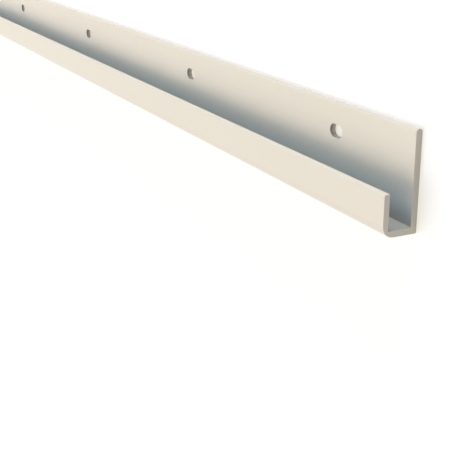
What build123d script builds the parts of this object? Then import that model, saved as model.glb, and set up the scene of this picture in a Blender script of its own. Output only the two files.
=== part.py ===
from build123d import *
import os

# Picture rail: one length of extruded aluminium in a J section, powder coated all over.
# Its flat back plate is fastened to a wall through a row of slots. The foot of the plate turns
# out into a floor and up again into a lip, which makes a channel that is open at the top.
# Frame: X runs along the rail, Y up the wall and Z out of the wall. The rail lies on its back,
# so the back face is Z = 0, and the origin is at the middle of that face. Sizes are in mm.

# Outside sizes of the stock
rail_length = 2000.0
rail_height = 41.0
rail_depth = 15.5

# Walls of the section
plate_thickness = 2.8
floor_thickness = 2.8
lip_thickness = 2.5
lip_height = 17.5

# Corner radii of the section
heel_radius = 0.5
nose_radius = 5.0
lip_front_radius = 0.7
lip_back_radius = 0.3
channel_front_radius = 1.6
channel_back_radius = 0.3
top_front_radius = 1.3
top_back_radius = 1.1

# Screw slots: closer together in the bay at each end, evenly spaced in between
slot_length = 9.4
slot_width = 5.6
slot_row_height = 28.5
end_margin = 55.0
end_bay = 150.0
middle_bay = 177.0

# The largest share of a wall that a rounded edge may take from one side
edge_share = 0.48


def rounded_edge(radius, wall):
    """The radius of an edge, no larger than its wall has room for."""
    return min(radius, edge_share * wall)


def section_corners():
    """Corners of the J section as (height Y, depth Z, radius), round from the heel."""
    foot = -rail_height / 2
    top = rail_height / 2
    lip_top = foot + lip_height
    channel_floor = foot + floor_thickness
    channel_front = rail_depth - lip_thickness
    channel_width = channel_front - plate_thickness
    return [
        (foot, 0, rounded_edge(heel_radius, floor_thickness)),
        (foot, rail_depth, nose_radius),
        (lip_top, rail_depth, rounded_edge(lip_front_radius, lip_thickness)),
        (lip_top, channel_front, rounded_edge(lip_back_radius, lip_thickness)),
        (channel_floor, channel_front, rounded_edge(channel_front_radius, channel_width)),
        (channel_floor, plate_thickness, rounded_edge(channel_back_radius, channel_width)),
        (top, plate_thickness, rounded_edge(top_front_radius, plate_thickness)),
        (top, 0, rounded_edge(top_back_radius, plate_thickness)),
    ]


def slot_places():
    """Places of the slots along the rail, mirrored about its middle."""
    end_slot = rail_length / 2 - end_margin
    inner_slot = end_slot - end_bay
    bays = max(1, round(2 * inner_slot / middle_bay))
    pitch = 2 * inner_slot / bays
    middle = [-inner_slot + pitch * i for i in range(bays + 1)]
    return [-end_slot, *middle, end_slot]


def rail_section():
    """The J section, drawn across the rail."""
    corners = section_corners()
    outline = FilletPolyline(
        *[(y, z) for y, z, _ in corners],
        radius=[radius for _, _, radius in corners],
        close=True,
    )
    return make_face(outline)


def screw_slots():
    """The slots as a set of cutters, each from the back face through the plate."""
    slot = SlotOverall(slot_length, slot_width)
    row = slot_row_height - rail_height / 2
    return [extrude(Pos(x, row) * slot, plate_thickness) for x in slot_places()]


def picture_rail():
    """The whole rail: the section drawn out to its length, less the slots."""
    stock = extrude(Plane.YZ * rail_section(), rail_length / 2, both=True)
    return stock - screw_slots()


rail = picture_rail()
os.makedirs("parts", exist_ok=True)
export_step(rail, "parts/rail.step")
print("section area", round(rail_section().area, 2), "mm2, volume", round(rail.volume, 1), "mm3")
print("slots at", [round(x, 2) for x in slot_places()])
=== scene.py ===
import math

import bmesh
import bpy
from bpy.props import FloatProperty, FloatVectorProperty, PointerProperty
from mathutils import Matrix, Vector


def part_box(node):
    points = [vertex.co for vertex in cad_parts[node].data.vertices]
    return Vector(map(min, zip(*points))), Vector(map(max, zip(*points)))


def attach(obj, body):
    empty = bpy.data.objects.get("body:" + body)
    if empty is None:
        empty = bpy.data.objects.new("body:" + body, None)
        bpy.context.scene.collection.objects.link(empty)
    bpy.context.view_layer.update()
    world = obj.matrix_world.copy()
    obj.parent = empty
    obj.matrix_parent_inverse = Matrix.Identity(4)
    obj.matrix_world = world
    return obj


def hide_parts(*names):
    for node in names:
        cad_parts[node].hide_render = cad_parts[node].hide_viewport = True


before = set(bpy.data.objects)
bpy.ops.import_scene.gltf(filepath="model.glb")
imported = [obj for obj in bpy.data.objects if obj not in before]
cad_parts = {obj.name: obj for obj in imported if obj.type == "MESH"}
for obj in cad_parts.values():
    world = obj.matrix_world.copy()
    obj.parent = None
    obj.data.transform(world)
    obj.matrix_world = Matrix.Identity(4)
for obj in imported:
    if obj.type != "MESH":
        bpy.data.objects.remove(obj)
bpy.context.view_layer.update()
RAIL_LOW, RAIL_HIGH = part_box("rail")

# Picture rail: one length of extruded aluminium in a J section, powder coated in a warm white.
# Its back plate is punched with a row of screw slots, and the lip in front of the plate makes
# a channel that is open at the top. X runs along the rail, Y up the wall and Z out of the wall.
# The rail lies on its back, so the floor stands for the wall. Lengths are in metres.

bl_info = {
    "name": "Picture Rail",
    "version": (1, 0, 0),
    "blender": (4, 5, 0),
    "location": "3D View > Sidebar > Picture Rail",
    "description": "Makes a powder coated picture rail with its screw slots, and a plain studio",
    "category": "Mesh",
}

MM = 0.001

# Two points closer than this are one point
TOUCH = 0.002 * MM

# A rounded corner has one straight step for this much of its radius, but no fewer than these
RADIUS_PER_STEP = 0.2 * MM
FEWEST_STEPS = 5

# Steps across a slot's rim and across the softened edge of an end
RIM_STEPS = 3

# A face looks straight along Z where its normal's part along Z is more than this
STRAIGHT = 0.99

# How far one colour of the coat fades into another at an edge
COAT_FADE = 0.2 * MM

# How a pattern is stretched: the die's lines along the rail, the saw's marks up the end
DIE_LINE_STRETCH = (0.01, 1.0, 1.0)
SAW_MARK_STRETCH = (1.0, 0.05, 1.0)

# How sharply the saw's marks stop where a face turns away from the end
END_SHARPNESS = 8.0

# The camera shows nothing nearer than this
CAMERA_CLIP = 10 * MM


def length_property(name, description, default):
    """A length in metres that the sidebar shows in the scene's own unit."""
    return FloatProperty(
        name=name, description=description, default=default, min=0.0, precision=5,
        unit="LENGTH", subtype="DISTANCE",
    )


def share_property(name, description, default):
    """A share from nought to one."""
    return FloatProperty(
        name=name, description=description, default=default, min=0.0, max=1.0,
        subtype="FACTOR",
    )


def strength_property(name, description, default):
    """How bright a light is: a white surface square to it renders that bright."""
    return FloatProperty(name=name, description=description, default=default, min=0.0)


def colour_property(name, description, default):
    """A linear colour."""
    return FloatVectorProperty(
        name=name, description=description, default=default, size=3, min=0.0, max=1.0,
        subtype="COLOR",
    )


def direction_property(name, description, default):
    """A direction in the rail's own frame."""
    return FloatVectorProperty(
        name=name, description=description, default=default, size=3, subtype="DIRECTION",
    )


def angle_property(name, description, degrees):
    """An angle, given in degrees."""
    return FloatProperty(
        name=name, description=description, default=math.radians(degrees), subtype="ANGLE",
    )


def place_property(name, description, default):
    """A point in the rail's own frame, in metres."""
    return FloatVectorProperty(
        name=name, description=description, default=default, size=3, precision=5,
        unit="LENGTH", subtype="TRANSLATION",
    )


class RailSection(bpy.types.PropertyGroup):
    """Sizes of the J section and the length that it is drawn out to."""

    length: length_property("Length", "Length of the stock", RAIL_HIGH.x - RAIL_LOW.x)
    height: length_property("Height", "From the foot to the top of the plate", RAIL_HIGH.y - RAIL_LOW.y)
    depth: length_property("Depth", "From the wall to the front of the lip", RAIL_HIGH.z - RAIL_LOW.z)
    plate: length_property("Plate", "Thickness of the back plate", 2.8 * MM)
    floor: length_property("Floor", "Thickness of the channel's floor", 2.8 * MM)
    lip: length_property("Lip", "Thickness of the lip", 2.5 * MM)
    lip_height: length_property("Lip height", "From the foot to the top of the lip", 17.5 * MM)
    heel: length_property("Heel", "Radius of the edge between back and foot", 0.5 * MM)
    nose: length_property("Nose", "Radius between foot and lip, outside", 5.0 * MM)
    lip_front: length_property("Lip front", "Radius of the lip's front edge, with its coat", 1.0 * MM)
    lip_back: length_property("Lip back", "Radius of the lip's edge to the channel", 0.3 * MM)
    channel_front: length_property("Channel front", "Radius between lip and floor, inside", 1.6 * MM)
    channel_back: length_property("Channel back", "Radius between floor and plate, inside", 0.3 * MM)
    top_front: length_property("Top front", "Radius of the plate's top front edge", 1.3 * MM)
    top_back: length_property("Top back", "Radius of the plate's top back edge", 1.1 * MM)
    end_edge: length_property("End edge", "Softened edge round each sawn end", 0.2 * MM)


class ScrewSlots(bpy.types.PropertyGroup):
    """The row of slots through the back plate."""

    length: length_property("Length", "Overall length of a slot", 9.4 * MM)
    width: length_property("Width", "Width of a slot", 5.6 * MM)
    row: length_property("Row", "Height of the row above the foot", 28.5 * MM)
    end_margin: length_property("End margin", "From each end to the first slot", 55.0 * MM)
    end_bay: length_property("End bay", "From the first slot to the second", 150.0 * MM)
    middle_bay: length_property("Middle bay", "About how far apart the others are", 177.0 * MM)
    rim: length_property("Rim", "Radius of the coat round each rim", 0.25 * MM)
    # Painted shade on each slot's walls, this far behind the front rim
    painted_shade_edge: length_property("Painted shade edge", "How far the painted shade goes behind a front rim", 1.1 * MM)


class PowderCoat(bpy.types.PropertyGroup):
    """The finish of the rail."""

    colour: colour_property("Colour", "Colour of the coat", (0.81, 0.78, 0.70))
    cloud_colour: colour_property("Cloud colour", "Colour of the coat's faint patches", (0.79, 0.76, 0.68))
    # Painted cool shade: the coat turns cooler and darker towards the channel, up to this reach above its
    # floor
    painted_cool_shade_colour: colour_property(
        "Fading colour", "Colour that the coat turns to towards the channel", (0.56, 0.70, 0.77),
    )
    painted_cool_shade_reach: length_property("Fading reach", "From the channel's floor up to the full coat", 22.0 * MM)
    # Painted shade: grey in the channel, up to this reach above its floor, and on the slots' walls
    painted_shade_colour: colour_property(
        "Painted shade colour", "Colour of the coat in the channel and at the slots' rims", (0.38, 0.40, 0.40),
    )
    painted_shade_reach: length_property(
        "Painted shade reach", "From the channel's floor up to where the painted shade ends", 10.0 * MM,
    )
    roughness: share_property("Roughness", "Roughness of the coat", 0.42)
    roughness_spread: share_property("Roughness spread", "How much the roughness wanders", 0.08)
    cloud_size: length_property("Cloud size", "Size of the faint patches", 35.0 * MM)
    peel_size: length_property("Peel size", "Size of the ripples of the coat", 1.4 * MM)
    peel_height: length_property("Peel height", "Height of the ripples of the coat", 0.004 * MM)
    grain_size: length_property("Grain size", "Size of the fine grain of the coat", 0.22 * MM)
    grain_height: length_property("Grain height", "Height of the fine grain", 0.0008 * MM)
    die_line_gap: length_property("Die line gap", "Spacing of the lines left by the die", 0.9 * MM)
    die_line_height: length_property("Die line height", "Height of these lines under the coat", 0.0012 * MM)
    saw_mark_gap: length_property("Saw mark gap", "Spacing of the saw's marks on the ends", 0.6 * MM)
    saw_mark_height: length_property("Saw mark height", "Height of the saw's marks", 0.006 * MM)


class Studio(bpy.types.PropertyGroup):
    """Floor, lights and camera."""

    floor_size: length_property("Floor size", "Side of the floor", 60.0)
    floor_glow: colour_property("Floor glow", "What the seen floor gives off by itself", (0.55, 0.49, 0.33))
    floor_white: colour_property(
        "Floor white", "Colour of the seen floor under the lights", (0.54, 0.625, 0.84),
    )
    floor_bounce: share_property("Floor bounce", "Light that the floor gives back", 0.50)
    dome: strength_property("Dome", "Soft light from all round", 0.78)
    dome_near: colour_property("Dome near", "Colour of the dome by the near end", (0.615, 0.551, 0.475))
    dome_far: colour_property("Dome far", "Colour of the dome by the far end", (0.59, 0.73, 0.94))
    key: strength_property("Key", "Broad light from the front, below and to the left", 0.37)
    key_colour: colour_property("Key colour", "Colour of the front light", (1.0, 0.84, 0.62))
    key_from: direction_property("Key from", "Where the front light comes from", (-0.455, -0.455, 0.766))
    key_spread: angle_property("Key spread", "Angle that the front light fills", 45)
    side: strength_property("Side", "Low light along the rail from its far end", 0.075)
    side_colour: colour_property("Side colour", "Colour of the side light", (1.0, 0.87, 0.6))
    side_from: direction_property("Side from", "Where the side light comes from", (-0.966, 0.0, 0.259))
    side_spread: angle_property("Side spread", "Angle that the side light fills", 45)
    top: strength_property("Top", "Light from above the rail, down along the wall", 0.95)
    top_colour: colour_property("Top colour", "Colour of the light from above", (1.0, 0.95, 0.87))
    top_from: direction_property("Top from", "Where the light from above comes from", (0.0, 1.0, 0.02))
    top_spread: angle_property("Top spread", "Angle that the light from above fills", 30)
    fill: strength_property("Fill", "Broad light from the front and below", 0.15)
    fill_colour: colour_property("Fill colour", "Colour of the fill light", (1.0, 0.76, 0.52))
    fill_from: direction_property("Fill from", "Where the fill light comes from", (0.0, -0.766, 0.643))
    fill_spread: angle_property("Fill spread", "Angle that the fill light fills", 45)
    camera_place: place_property("Camera place", "Where the camera is", (1.28327, 0.10332, 0.21767))
    camera_forward: direction_property(
        "Camera forward", "Where the camera looks", (-0.84436, -0.33447, -0.41854),
    )
    camera_up: direction_property("Camera up", "Up in the picture", (-0.29939, 0.94241, -0.14912))
    lens: FloatProperty(
        name="Lens", description="Focal length of the camera", default=74.5, unit="CAMERA",
    )


def arc_steps(radius):
    """How many straight steps round a quarter turn of this radius."""
    return max(FEWEST_STEPS, math.ceil(radius / RADIUS_PER_STEP))


def half_turn_steps(radius):
    """How many straight steps round a slot's half turn: a third of what two corners have."""
    return 2 * arc_steps(radius) // 3


def section_corners(section):
    """Corners of the J section as (height Y, depth Z, radius), round from the heel."""
    foot = RAIL_LOW.y
    back = RAIL_LOW.z
    top = foot + section.height
    front = back + section.depth
    lip_top = foot + section.lip_height
    channel_floor = foot + section.floor
    lip_inside = front - section.lip
    plate_front = back + section.plate
    return [
        (foot, back, section.heel),
        (foot, front, section.nose),
        (lip_top, front, section.lip_front),
        (lip_top, lip_inside, section.lip_back),
        (channel_floor, lip_inside, section.channel_front),
        (channel_floor, plate_front, section.channel_back),
        (top, plate_front, section.top_front),
        (top, back, section.top_back),
    ]


def same(a, b):
    """Whether two places along one axis are the same."""
    return math.isclose(a, b, abs_tol=TOUCH)


def edges_where(bm, test):
    """The edges with both ends at points that pass the test."""
    return [e for e in bm.edges if all(test(v.co) for v in e.verts)]


def round_edges(bm, edges, radius, steps):
    """Rounds edges to a radius in this many steps."""
    bmesh.ops.bevel(
        bm, geom=edges, offset=radius, offset_type="OFFSET", segments=steps, profile=0.5,
        affect="EDGES", material=-1, clamp_overlap=False, loop_slide=False,
    )


def draw_out_stock(bm, section):
    """The J section with sharp corners, drawn out to its length and then rounded."""
    corners = section_corners(section)
    start = RAIL_LOW.x
    outline = [bm.verts.new((start, y, z)) for y, z, _ in corners]
    end_face = bm.faces.new(outline)
    drawn = bmesh.ops.extrude_face_region(bm, geom=[end_face])["geom"]
    drawn_verts = [v for v in drawn if isinstance(v, bmesh.types.BMVert)]
    bmesh.ops.translate(bm, vec=(section.length, 0, 0), verts=drawn_verts)
    for y, z, radius in corners:
        edge = edges_where(bm, lambda p: same(p.y, y) and same(p.z, z))
        round_edges(bm, edge, radius, arc_steps(radius))


def slot_places(section, slots):
    """Places of the slots along the rail, mirrored about its middle."""
    end_slot = section.length / 2 - slots.end_margin
    inner_slot = end_slot - slots.end_bay
    bays = max(1, round(2 * inner_slot / slots.middle_bay))
    pitch = 2 * inner_slot / bays
    middle = [-inner_slot + pitch * i for i in range(bays + 1)]
    return [-end_slot, *middle, end_slot]


def cut_across(bm, x):
    """A cross cut that leaves the rail whole, with a line of edges round it."""
    bmesh.ops.bisect_plane(
        bm, geom=bm.verts[:] + bm.edges[:] + bm.faces[:], dist=TOUCH, plane_co=(x, 0, 0),
        plane_no=(1, 0, 0),
    )


def slot_outline(bm, x, y, z, slots):
    """A loop of edges with two straight sides and two half circles."""
    radius = slots.width / 2
    run = slots.length - slots.width
    first = bm.verts.new((x + run / 2, y - radius, z))
    before = set(bm.edges)
    tip = first
    for side in (1, -1):
        turned = bmesh.ops.spin(
            bm, geom=[tip], cent=(x + side * run / 2, y, z), axis=(0, 0, 1), angle=math.pi,
            steps=half_turn_steps(radius),
        )
        tip = turned["geom_last"][0]
        if side == 1:
            drawn = bmesh.ops.extrude_vert_indiv(bm, verts=[tip])
            tip = drawn["verts"][0]
            bmesh.ops.translate(bm, vec=(-run, 0, 0), verts=[tip])
    bm.edges.new((tip, first))
    return [e for e in bm.edges if e not in before]


def flat_face_at(bm, x, z, facing):
    """The face of the plate that lies at depth z, with its middle at x."""
    found = [
        f for f in bm.faces
        if f.normal.z * facing > STRAIGHT
        and all(same(v.co.z, z) for v in f.verts)
        and same(f.calc_center_bounds().x, x)
    ]
    if len(found) != 1:
        raise RuntimeError(f"{len(found)} faces of the plate at {x:.4f}")
    return found[0]


def punch_slot(bm, x, section, slots):
    """A slot through the plate. Gives the edges of its two rims."""
    row = RAIL_LOW.y + slots.row
    rims = []
    for z, facing in ((RAIL_LOW.z + section.plate, 1), (RAIL_LOW.z, -1)):
        cell = flat_face_at(bm, x, z, facing)
        border = list(cell.edges)
        bmesh.ops.delete(bm, geom=[cell], context="FACES_ONLY")
        rim = slot_outline(bm, x, row, z, slots)
        bmesh.ops.triangle_fill(
            bm, edges=border + rim, use_beauty=True, use_dissolve=False, normal=(0, 0, facing),
        )
        rims += rim
    bmesh.ops.bridge_loops(bm, edges=rims)
    return rims


def rail_mesh(section, slots):
    """The whole rail as one closed mesh."""
    bm = bmesh.new()
    draw_out_stock(bm, section)
    ends = (RAIL_LOW.x, RAIL_LOW.x + section.length)
    for x in ends:
        edges = edges_where(bm, lambda p: same(p.x, x))
        round_edges(bm, edges, section.end_edge, RIM_STEPS)
    bmesh.ops.recalc_face_normals(bm, faces=bm.faces)
    places = slot_places(section, slots)
    half_cell = slots.length / 2 + slots.width
    for x in places:
        cut_across(bm, x - half_cell)
        cut_across(bm, x + half_cell)
    rims = []
    for x in places:
        rims += punch_slot(bm, x, section, slots)
    round_edges(bm, rims, slots.rim, RIM_STEPS)
    bmesh.ops.remove_doubles(bm, verts=bm.verts, dist=TOUCH)
    bmesh.ops.recalc_face_normals(bm, faces=bm.faces)
    loose = [e for e in bm.edges if len(e.link_faces) != 2]
    if loose:
        raise RuntimeError(f"the rail isn't closed at {len(loose)} edges")
    for face in bm.faces:
        face.smooth = True
    mesh = bpy.data.meshes.new("coated_rail")
    bm.to_mesh(mesh)
    bm.free()
    return mesh


class NodeBench:
    """Adds and links the nodes of one material or world."""

    def __init__(self, tree):
        self.tree = tree
        self.tree.nodes.clear()

    def add(self, kind, **values):
        """A node with these inputs set, or linked where the value is an output socket."""
        node = self.tree.nodes.new(kind)
        for name, value in values.items():
            self.put(node.inputs[name.replace("_", " ")], value)
        return node

    def put(self, socket, value):
        """Sets an input, or links it where the value is an output socket."""
        if isinstance(value, bpy.types.NodeSocket):
            self.tree.links.new(value, socket)
        else:
            socket.default_value = value

    def math(self, operation, a, b=0.0):
        """The result of one operation on one or two numbers."""
        node = self.tree.nodes.new("ShaderNodeMath")
        node.operation = operation
        self.put(node.inputs[0], a)
        self.put(node.inputs[1], b)
        return node.outputs[0]

    def ranged(self, value, low, high):
        """The value from nought to one, spread from low to high."""
        node = self.add("ShaderNodeMapRange", Value=value, To_Min=low, To_Max=high)
        return node.outputs["Result"]

    def rise(self, value, start, end):
        """Nought at the start and one at the end, with a smooth rise between."""
        node = self.add("ShaderNodeMapRange", Value=value, From_Min=start, From_Max=end)
        node.interpolation_type = "SMOOTHSTEP"
        return node.outputs["Result"]

    def all_of(self, first, *others):
        """The product of shares."""
        for share in others:
            first = self.math("MULTIPLY", first, share)
        return first

    def blend(self, share, first, second):
        """The first colour where the share is nought, the second where it is one."""
        node = self.tree.nodes.new("ShaderNodeMix")
        node.data_type = "RGBA"
        self.put(node.inputs[0], share)
        # The colour sockets come after those for numbers and vectors
        self.put(node.inputs[6], first)
        self.put(node.inputs[7], second)
        return node.outputs[2]

    def either(self, share, first, second):
        """The first shader where the share is nought, the second where it is one."""
        node = self.tree.nodes.new("ShaderNodeMixShader")
        self.put(node.inputs[0], share)
        self.put(node.inputs[1], first.outputs[0])
        self.put(node.inputs[2], second.outputs[0])
        return node.outputs[0]

    def noise(self, place, size, detail):
        """Noise of this feature size, from nought to one."""
        node = self.add("ShaderNodeTexNoise", Vector=place, Scale=1 / size, Detail=detail)
        return node.outputs["Fac"]

    def stretched(self, place, scale):
        """The place scaled along each axis, so that a pattern on it is stretched."""
        node = self.add("ShaderNodeMapping", Vector=place, Scale=scale)
        return node.outputs["Vector"]


def channel_shade_share(bench, spot, section, reach):
    """Share of painted shade: nought outside the channel, and up to one at its floor."""
    channel_floor = RAIL_LOW.y + section.floor
    plate_front = RAIL_LOW.z + section.plate
    lip_inside = RAIL_LOW.z + section.depth - section.lip
    height = spot.outputs["Y"]
    depth = spot.outputs["Z"]
    return bench.all_of(
        bench.rise(height, channel_floor + reach, channel_floor),
        bench.rise(height, channel_floor - COAT_FADE, channel_floor),
        bench.rise(depth, plate_front - COAT_FADE, plate_front),
        bench.rise(depth, lip_inside + COAT_FADE, lip_inside),
    )


def painted_slot_shade(bench, spot, section, slots):
    """Share of painted shade: one on the slots' walls just behind their front rims, and nought elsewhere.
    """
    row = RAIL_LOW.y + slots.row
    from_row = bench.math("ABSOLUTE", bench.math("SUBTRACT", spot.outputs["Y"], row))
    from_middle = bench.math("ABSOLUTE", spot.outputs["X"])
    front = RAIL_LOW.z + section.plate
    shade_ends = front - slots.painted_shade_edge
    past_slots = section.length / 2 - slots.end_margin + slots.length
    return bench.all_of(
        bench.rise(from_row, slots.width / 2 + COAT_FADE, slots.width / 2),
        bench.rise(from_middle, past_slots + COAT_FADE, past_slots),
        bench.rise(spot.outputs["Z"], shade_ends - COAT_FADE, shade_ends),
        bench.rise(spot.outputs["Z"], front, front - COAT_FADE),
    )


def powder_coat(coat, section, slots):
    """Satin powder coat with fine ripples and grain, die lines, and saw marks on the ends.

    Its colour carries painted shade: cooler towards the channel, and grey in it and on the slots' walls
    behind their front rims.
    """
    material = bpy.data.materials.new("satin_powder_coat")
    material.use_nodes = True
    bench = NodeBench(material.node_tree)
    coords = bench.add("ShaderNodeTexCoord")
    place = coords.outputs["Object"]
    clouds = bench.noise(place, coat.cloud_size, detail=3.0)
    peel = bench.noise(place, coat.peel_size, detail=2.0)
    grain = bench.noise(place, coat.grain_size, detail=1.0)
    along = bench.stretched(place, DIE_LINE_STRETCH)
    die_lines = bench.noise(along, coat.die_line_gap, detail=2.0)
    facing = bench.add("ShaderNodeSeparateXYZ", Vector=coords.outputs["Normal"])
    sawn = bench.math("POWER", bench.math("ABSOLUTE", facing.outputs["X"]), END_SHARPNESS)
    across = bench.stretched(place, SAW_MARK_STRETCH)
    saw_marks = bench.noise(across, coat.saw_mark_gap, detail=2.0)
    height = bench.math("MULTIPLY", peel, coat.peel_height / MM)
    for layer in (
        bench.math("MULTIPLY", grain, coat.grain_height / MM),
        bench.math("MULTIPLY", die_lines, coat.die_line_height / MM),
        bench.math("MULTIPLY", bench.math("MULTIPLY", saw_marks, sawn), coat.saw_mark_height / MM),
    ):
        height = bench.math("ADD", height, layer)
    bump = bench.add("ShaderNodeBump", Height=height, Distance=MM, Strength=1.0)
    full_coat = bench.blend(clouds, (*coat.colour, 1.0), (*coat.cloud_colour, 1.0))
    spot = bench.add("ShaderNodeSeparateXYZ", Vector=place)
    # Painted cool shade on the plate's lower part and in the channel
    cool_shade_share = channel_shade_share(bench, spot, section, coat.painted_cool_shade_reach)
    coat_with_cool_shade = bench.blend(cool_shade_share, full_coat, (*coat.painted_cool_shade_colour, 1.0))
    # Painted shade: grey in the channel and on the slots' walls behind their front rims
    painted_shade_share = bench.math(
        "MAXIMUM", channel_shade_share(bench, spot, section, coat.painted_shade_reach),
        painted_slot_shade(bench, spot, section, slots),
    )
    colour = bench.blend(painted_shade_share, coat_with_cool_shade, (*coat.painted_shade_colour, 1.0))
    roughness = bench.ranged(
        peel, coat.roughness - coat.roughness_spread / 2, coat.roughness + coat.roughness_spread / 2,
    )
    shader = bench.add(
        "ShaderNodeBsdfPrincipled", Base_Color=colour, Roughness=roughness,
        Normal=bump.outputs["Normal"],
    )
    bench.add("ShaderNodeOutputMaterial", Surface=shader.outputs[0])
    return material


def seen_directly(bench):
    """One where the background is seen, straight, in a reflection or through glass, else nought."""
    path = bench.add("ShaderNodeLightPath")
    straight = bench.math("MAXIMUM", path.outputs["Is Camera Ray"], path.outputs["Is Glossy Ray"])
    return bench.math("MAXIMUM", straight, path.outputs["Is Transmission Ray"])


def white_floor(studio):
    """Shows white with a soft shadow, and lights the rail only as a pale floor would."""
    material = bpy.data.materials.new("white_floor")
    material.use_nodes = True
    bench = NodeBench(material.node_tree)
    glow = bench.add("ShaderNodeEmission", Color=(*studio.floor_glow, 1.0), Strength=1.0)
    white = bench.add("ShaderNodeBsdfDiffuse", Color=(*studio.floor_white, 1.0))
    pale = bench.add("ShaderNodeBsdfDiffuse", Color=(*[studio.floor_bounce] * 3, 1.0))
    shown = bench.tree.nodes.new("ShaderNodeAddShader")
    bench.put(shown.inputs[0], glow.outputs[0])
    bench.put(shown.inputs[1], white.outputs[0])
    surface = bench.either(seen_directly(bench), pale, shown)
    bench.add("ShaderNodeOutputMaterial", Surface=surface)
    return material


def lay_floor(studio):
    """A plain floor that the rail lies on."""
    bm = bmesh.new()
    bmesh.ops.create_grid(
        bm, x_segments=1, y_segments=1, size=studio.floor_size / 2,
        matrix=Matrix.Translation((0, 0, RAIL_LOW.z)),
    )
    mesh = bpy.data.meshes.new("floor")
    bm.to_mesh(mesh)
    bm.free()
    mesh.materials.append(white_floor(studio))
    floor = bpy.data.objects.new("floor", mesh)
    bpy.context.scene.collection.objects.link(floor)


def hang_dome(studio):
    """Soft light from all round, cooler towards the far end, that shows as white."""
    world = bpy.data.worlds.new("dome")
    world.use_nodes = True
    bench = NodeBench(world.node_tree)
    direction = bench.add("ShaderNodeTexCoord").outputs["Generated"]
    along = bench.add("ShaderNodeSeparateXYZ", Vector=direction).outputs["X"]
    nearness = bench.add("ShaderNodeMapRange", Value=along, From_Min=-1.0, From_Max=1.0)
    colour = bench.blend(nearness.outputs["Result"], (*studio.dome_far, 1.0), (*studio.dome_near, 1.0))
    light = bench.add("ShaderNodeBackground", Color=colour, Strength=studio.dome)
    white = bench.add("ShaderNodeBackground", Color=(1.0, 1.0, 1.0, 1.0), Strength=1.0)
    surface = bench.either(seen_directly(bench), light, white)
    bench.add("ShaderNodeOutputWorld", Surface=surface)
    bpy.context.scene.world = world


def hang_light(name, strength, colour, comes_from, spread):
    """A far, broad and soft light. A strength of one shows white on a surface square to it."""
    light = bpy.data.lights.new(name, "SUN")
    light.energy = strength * math.pi
    light.color = colour
    light.angle = spread
    lamp = bpy.data.objects.new(name, light)
    lamp.rotation_euler = Vector(comes_from).to_track_quat("Z", "Y").to_euler()
    bpy.context.scene.collection.objects.link(lamp)


def place_camera(studio):
    """The camera at its place, turned by where it looks and what is up in its picture."""
    camera = bpy.data.cameras.new("camera")
    camera.lens = studio.lens
    camera.clip_start = CAMERA_CLIP
    holder = bpy.data.objects.new("camera", camera)
    back = -Vector(studio.camera_forward).normalized()
    right = Vector(studio.camera_up).cross(back).normalized()
    turn = Matrix((right, back.cross(right), back)).transposed().to_4x4()
    holder.matrix_world = Matrix.Translation(studio.camera_place) @ turn
    bpy.context.scene.collection.objects.link(holder)
    bpy.context.scene.camera = holder


class PICTURE_RAIL_OT_make_rail(bpy.types.Operator):
    """Make the rail with its screw slots and its coat"""

    bl_idname = "picture_rail.make_rail"
    bl_label = "Make Rail"

    def execute(self, context):
        scene = context.scene
        mesh = rail_mesh(scene.rail_section, scene.screw_slots)
        coat = powder_coat(scene.powder_coat, scene.rail_section, scene.screw_slots)
        mesh.materials.append(coat)
        rail = bpy.data.objects.new("coated_rail", mesh)
        scene.collection.objects.link(rail)
        even = rail.modifiers.new("even_flats", "WEIGHTED_NORMAL")
        even.keep_sharp = True
        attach(rail, "root")
        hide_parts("rail")
        return {"FINISHED"}


class PICTURE_RAIL_OT_set_stage(bpy.types.Operator):
    """Lay the floor, hang the lights and place the camera"""

    bl_idname = "picture_rail.set_stage"
    bl_label = "Set Stage"

    def execute(self, context):
        studio = context.scene.rail_studio
        lay_floor(studio)
        hang_dome(studio)
        hang_light("key", studio.key, studio.key_colour, studio.key_from, studio.key_spread)
        hang_light("side", studio.side, studio.side_colour, studio.side_from, studio.side_spread)
        hang_light("top", studio.top, studio.top_colour, studio.top_from, studio.top_spread)
        hang_light("fill", studio.fill, studio.fill_colour, studio.fill_from, studio.fill_spread)
        place_camera(studio)
        context.scene.view_settings.view_transform = "Standard"
        return {"FINISHED"}


class PICTURE_RAIL_PT_sidebar(bpy.types.Panel):
    """Sizes, finish and light of the rail, and the buttons that make it"""

    bl_label = "Picture Rail"
    bl_idname = "PICTURE_RAIL_PT_sidebar"
    bl_space_type = "VIEW_3D"
    bl_region_type = "UI"
    bl_category = "Picture Rail"

    def draw(self, context):
        scene = context.scene
        self.draw_settings(scene.rail_section, "Section")
        self.draw_settings(scene.screw_slots, "Screw slots")
        self.draw_settings(scene.powder_coat, "Powder coat")
        self.layout.operator(PICTURE_RAIL_OT_make_rail.bl_idname)
        self.draw_settings(scene.rail_studio, "Studio")
        self.layout.operator(PICTURE_RAIL_OT_set_stage.bl_idname)

    def draw_settings(self, settings, title):
        box = self.layout.box()
        box.label(text=title)
        for name in settings.__annotations__:
            box.prop(settings, name)


SETTINGS = {
    "rail_section": RailSection,
    "screw_slots": ScrewSlots,
    "powder_coat": PowderCoat,
    "rail_studio": Studio,
}
CLASSES = (
    *SETTINGS.values(),
    PICTURE_RAIL_OT_make_rail,
    PICTURE_RAIL_OT_set_stage,
    PICTURE_RAIL_PT_sidebar,
)


def register():
    for cls in CLASSES:
        bpy.utils.register_class(cls)
    for name, settings in SETTINGS.items():
        setattr(bpy.types.Scene, name, PointerProperty(type=settings))


def unregister():
    for name in SETTINGS:
        delattr(bpy.types.Scene, name)
    for cls in reversed(CLASSES):
        bpy.utils.unregister_class(cls)


def main():
    register()
    bpy.ops.picture_rail.make_rail()
    bpy.ops.picture_rail.set_stage()


if __name__ == "__main__":
    main()
